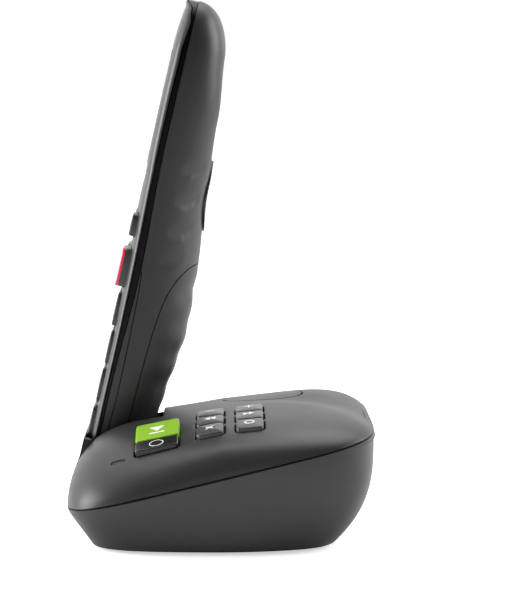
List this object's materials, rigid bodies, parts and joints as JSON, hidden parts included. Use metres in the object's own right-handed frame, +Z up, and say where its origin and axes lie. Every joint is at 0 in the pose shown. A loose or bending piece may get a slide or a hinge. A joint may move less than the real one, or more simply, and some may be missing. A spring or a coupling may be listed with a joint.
{
  "type": "cordless phone with base",
  "caption": "Large-key cordless handset leaning back in a wedge-shaped answering base with a green play key, grey function keys and a round loudspeaker cover.",
  "frame": {"origin": "centre of the footprint on the surface the base stands on", "axes": "+X to the right of the user, +Y to the rear, +Z up"},
  "size_m": [0.116, 0.1, 0.1766],
  "materials": {
    "base_plastic": "fine matt spark texture, anthracite",
    "battery_wrap": "shrink-wrapped cell",
    "black_band": "smooth black",
    "black_key": "semi-gloss black",
    "call_key": "satin green",
    "circuit_board": "solder-masked board",
    "contact_metal": "plated spring contact",
    "cradle_plastic": "plain matt moulding",
    "digit_key": "satin dark grey",
    "display_module": "liquid crystal module",
    "display_window": "clear dark polycarbonate lens",
    "end_key": "satin red",
    "frame_plastic": "satin moulding, dark grey",
    "green_key": "satin, clear lime green top",
    "grey_key": "semi-gloss dark grey",
    "handset_plastic": "fine matt spark texture, anthracite",
    "navigation_key": "satin grey",
    "rubber": "matt rubber",
    "socket_plastic": "black socket housing",
    "steel": "plain steel"
  },
  "bodies": {
    "base": {"base_board": "circuit_board", "base_bottom_shell": "base_plastic", "base_key_mat": "rubber", "base_microphone": "steel", "base_screw_left": "steel", "base_screw_right": "steel", "base_speaker": "steel", "base_top_cover": "base_plastic", "charge_contact_left": "contact_metal", "charge_contact_right": "contact_metal", "cradle_well": "cradle_plastic", "foot_front_left": "rubber", "foot_front_right": "rubber", "foot_rear_left": "rubber", "foot_rear_right": "rubber", "line_jack": "socket_plastic", "power_jack": "socket_plastic", "speaker_cover": "base_plastic"},
    "handset": {"handset_front_frame": "frame_plastic", "handset_rear_shell": "handset_plastic", "chin_frame": "handset_plastic", "side_band": "black_band", "rear_insert": "handset_plastic", "display_window": "display_window", "display_module": "display_module", "earpiece": "steel", "handset_key_mat": "rubber", "handset_board": "circuit_board", "battery_left": "battery_wrap", "battery_right": "battery_wrap", "charge_pad_left": "contact_metal", "charge_pad_right": "contact_metal"},
    "battery_cover": {"battery_cover": "handset_plastic"},
    "play_key": {"play_key": "green_key"},
    "power_key": {"power_key": "black_key"},
    "front_left_key": {"front_left_key": "grey_key"},
    "front_middle_key": {"front_middle_key": "grey_key"},
    "front_right_key": {"front_right_key": "grey_key"},
    "rear_left_key": {"rear_left_key": "grey_key"},
    "rear_middle_key": {"rear_middle_key": "grey_key"},
    "rear_right_key": {"rear_right_key": "grey_key"},
    "digit_key_0": {"digit_key_0": "digit_key"},
    "digit_key_1": {"digit_key_1": "digit_key"},
    "digit_key_2": {"digit_key_2": "digit_key"},
    "digit_key_3": {"digit_key_3": "digit_key"},
    "digit_key_4": {"digit_key_4": "digit_key"},
    "digit_key_5": {"digit_key_5": "digit_key"},
    "digit_key_6": {"digit_key_6": "digit_key"},
    "digit_key_7": {"digit_key_7": "digit_key"},
    "digit_key_8": {"digit_key_8": "digit_key"},
    "digit_key_9": {"digit_key_9": "digit_key"},
    "digit_key_hash": {"digit_key_hash": "digit_key"},
    "digit_key_star": {"digit_key_star": "digit_key"},
    "call_key": {"call_key": "call_key"},
    "end_key": {"end_key": "end_key"},
    "left_side_key": {"left_side_key": "digit_key"},
    "right_side_key": {"right_side_key": "digit_key"},
    "navigation_key": {"navigation_key": "navigation_key"},
    "left_display_key": {"left_display_key": "digit_key"},
    "right_display_key": {"right_display_key": "digit_key"}
  },
  "joints": [
    {"name": "handset_lift", "type": "slide", "parent": "base", "child": "handset", "axis": [0, 0.225, 0.9744], "range_m": [0, 0.07]},
    {"name": "battery_cover_hinge", "type": "hinge", "parent": "handset", "child": "battery_cover", "pos_m": [-0.016, -0.02136, 0.03056], "axis": [-1, 0, 0], "range_deg": [0, 6]},
    {"name": "play_key_press", "type": "slide", "parent": "base", "child": "play_key", "axis": [-0.2412, 0.2128, -0.9468], "range_m": [0, 0.001], "stiffness_N_per_m": 120, "springref_m": -0.001},
    {"name": "power_key_press", "type": "slide", "parent": "base", "child": "power_key", "axis": [-0.2412, 0.2128, -0.9468], "range_m": [0, 0.001], "stiffness_N_per_m": 120, "springref_m": -0.001},
    {"name": "front_left_key_press", "type": "slide", "parent": "base", "child": "front_left_key", "axis": [-0.0734, 0.1346, -0.9882], "range_m": [0, 0.001], "stiffness_N_per_m": 120, "springref_m": -0.001},
    {"name": "front_middle_key_press", "type": "slide", "parent": "base", "child": "front_middle_key", "axis": [-0.1137, 0.1595, -0.9806], "range_m": [0, 0.001], "stiffness_N_per_m": 120, "springref_m": -0.001},
    {"name": "front_right_key_press", "type": "slide", "parent": "base", "child": "front_right_key", "axis": [-0.1837, 0.1956, -0.9633], "range_m": [0, 0.001], "stiffness_N_per_m": 120, "springref_m": -0.001},
    {"name": "rear_left_key_press", "type": "slide", "parent": "base", "child": "rear_left_key", "axis": [-0.0661, 0.116, -0.991], "range_m": [0, 0.001], "stiffness_N_per_m": 120, "springref_m": -0.001},
    {"name": "rear_middle_key_press", "type": "slide", "parent": "base", "child": "rear_middle_key", "axis": [-0.1036, 0.1153, -0.9879], "range_m": [0, 0.001], "stiffness_N_per_m": 120, "springref_m": -0.001},
    {"name": "rear_right_key_press", "type": "slide", "parent": "base", "child": "rear_right_key", "axis": [-0.1717, 0.1115, -0.9788], "range_m": [0, 0.001], "stiffness_N_per_m": 120, "springref_m": -0.001},
    {"name": "digit_key_0_press", "type": "slide", "parent": "handset", "child": "digit_key_0", "axis": [0, 0.9744, -0.225], "range_m": [0, 0.0007], "stiffness_N_per_m": 120, "springref_m": -0.001},
    {"name": "digit_key_1_press", "type": "slide", "parent": "handset", "child": "digit_key_1", "axis": [0, 0.9744, -0.225], "range_m": [0, 0.0007], "stiffness_N_per_m": 120, "springref_m": -0.001},
    {"name": "digit_key_2_press", "type": "slide", "parent": "handset", "child": "digit_key_2", "axis": [0, 0.9744, -0.225], "range_m": [0, 0.0007], "stiffness_N_per_m": 120, "springref_m": -0.001},
    {"name": "digit_key_3_press", "type": "slide", "parent": "handset", "child": "digit_key_3", "axis": [0, 0.9744, -0.225], "range_m": [0, 0.0007], "stiffness_N_per_m": 120, "springref_m": -0.001},
    {"name": "digit_key_4_press", "type": "slide", "parent": "handset", "child": "digit_key_4", "axis": [0, 0.9744, -0.225], "range_m": [0, 0.0007], "stiffness_N_per_m": 120, "springref_m": -0.001},
    {"name": "digit_key_5_press", "type": "slide", "parent": "handset", "child": "digit_key_5", "axis": [0, 0.9744, -0.225], "range_m": [0, 0.0007], "stiffness_N_per_m": 120, "springref_m": -0.001},
    {"name": "digit_key_6_press", "type": "slide", "parent": "handset", "child": "digit_key_6", "axis": [0, 0.9744, -0.225], "range_m": [0, 0.0007], "stiffness_N_per_m": 120, "springref_m": -0.001},
    {"name": "digit_key_7_press", "type": "slide", "parent": "handset", "child": "digit_key_7", "axis": [0, 0.9744, -0.225], "range_m": [0, 0.0007], "stiffness_N_per_m": 120, "springref_m": -0.001},
    {"name": "digit_key_8_press", "type": "slide", "parent": "handset", "child": "digit_key_8", "axis": [0, 0.9744, -0.225], "range_m": [0, 0.0007], "stiffness_N_per_m": 120, "springref_m": -0.001},
    {"name": "digit_key_9_press", "type": "slide", "parent": "handset", "child": "digit_key_9", "axis": [0, 0.9744, -0.225], "range_m": [0, 0.0007], "stiffness_N_per_m": 120, "springref_m": -0.001},
    {"name": "digit_key_hash_press", "type": "slide", "parent": "handset", "child": "digit_key_hash", "axis": [0, 0.9744, -0.225], "range_m": [0, 0.0007], "stiffness_N_per_m": 120, "springref_m": -0.001},
    {"name": "digit_key_star_press", "type": "slide", "parent": "handset", "child": "digit_key_star", "axis": [0, 0.9744, -0.225], "range_m": [0, 0.0007], "stiffness_N_per_m": 120, "springref_m": -0.001},
    {"name": "call_key_press", "type": "slide", "parent": "handset", "child": "call_key", "axis": [0, 0.9744, -0.225], "range_m": [0, 0.0007], "stiffness_N_per_m": 120, "springref_m": -0.001},
    {"name": "end_key_press", "type": "slide", "parent": "handset", "child": "end_key", "axis": [0, 0.9744, -0.225], "range_m": [0, 0.0007], "stiffness_N_per_m": 120, "springref_m": -0.001},
    {"name": "left_side_key_press", "type": "slide", "parent": "handset", "child": "left_side_key", "axis": [0, 0.9744, -0.225], "range_m": [0, 0.0007], "stiffness_N_per_m": 120, "springref_m": -0.001},
    {"name": "right_side_key_press", "type": "slide", "parent": "handset", "child": "right_side_key", "axis": [0, 0.9744, -0.225], "range_m": [0, 0.0007], "stiffness_N_per_m": 120, "springref_m": -0.001},
    {"name": "navigation_key_press", "type": "slide", "parent": "handset", "child": "navigation_key", "axis": [0, 0.9744, -0.225], "range_m": [0, 0.0007], "stiffness_N_per_m": 120, "springref_m": -0.001},
    {"name": "left_display_key_press", "type": "slide", "parent": "handset", "child": "left_display_key", "axis": [0, 0.9744, -0.225], "range_m": [0, 0.0007], "stiffness_N_per_m": 120, "springref_m": -0.001},
    {"name": "right_display_key_press", "type": "slide", "parent": "handset", "child": "right_display_key", "axis": [0, 0.9744, -0.225], "range_m": [0, 0.0007], "stiffness_N_per_m": 120, "springref_m": -0.001}
  ]
}
